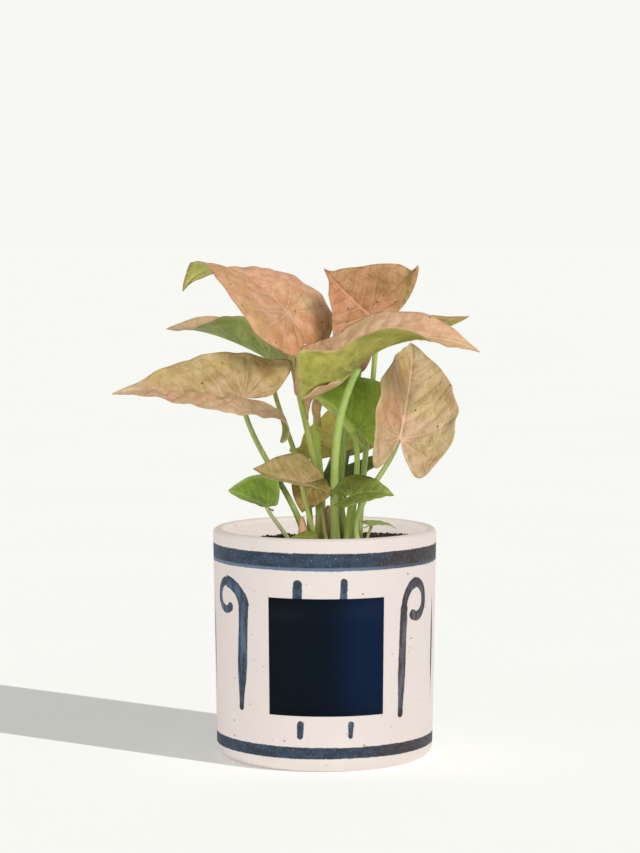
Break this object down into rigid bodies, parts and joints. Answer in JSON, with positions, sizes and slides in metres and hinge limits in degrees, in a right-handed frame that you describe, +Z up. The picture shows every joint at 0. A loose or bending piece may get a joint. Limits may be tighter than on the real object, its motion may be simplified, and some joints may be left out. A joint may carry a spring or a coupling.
{
  "type": "potted syngonium",
  "caption": "Arrowhead plant with pink and green leaves on slender stalks, growing in soil in a cylindrical cream ceramic pot painted with dark blue bands and crooks.",
  "frame": {"origin": "centre of the pot's flat underside", "axes": "+Z up along the pot's axis, -Y towards the front, where the bare label is, +X to the right"},
  "size_m": [0.2078, 0.1976, 0.2875],
  "materials": {
    "ceramic": "matte cream glaze with small dark specks and dark blue brush strokes",
    "soil": "rough, crumbly potting soil",
    "blade": "satin leaf, pink above and green below",
    "petiole": "satin green stalk"
  },
  "bodies": {
    "root": {"crown_stem": "petiole", "leaf_back_centre": "blade", "leaf_back_left": "blade", "leaf_back_right": "blade", "leaf_centre": "blade", "leaf_front_right": "blade", "leaf_hanging_right": "blade", "leaf_left": "blade", "leaf_low_back_dark": "blade", "leaf_low_back_right": "blade", "leaf_low_front": "blade", "leaf_low_left": "blade", "leaf_low_right": "blade", "leaf_small_bronze": "blade", "leaf_soil_left": "blade", "leaf_soil_right": "blade", "leaf_top_left": "blade", "leaf_top_right": "blade", "leaf_young_narrow": "blade", "petiole_back_centre": "petiole", "petiole_back_left": "petiole", "petiole_back_right": "petiole", "petiole_centre": "petiole", "petiole_front_right": "petiole", "petiole_hanging_right": "petiole", "petiole_left": "petiole", "petiole_low_back_dark": "petiole", "petiole_low_back_right": "petiole", "petiole_low_front": "petiole", "petiole_low_left": "petiole", "petiole_low_right": "petiole", "petiole_small_bronze": "petiole", "petiole_soil_left": "petiole", "petiole_soil_right": "petiole", "petiole_top_left": "petiole", "petiole_top_right": "petiole", "petiole_young_narrow": "petiole", "pot": "ceramic", "soil": "soil", "young_shoot": "petiole"}
  },
  "joints": []
}
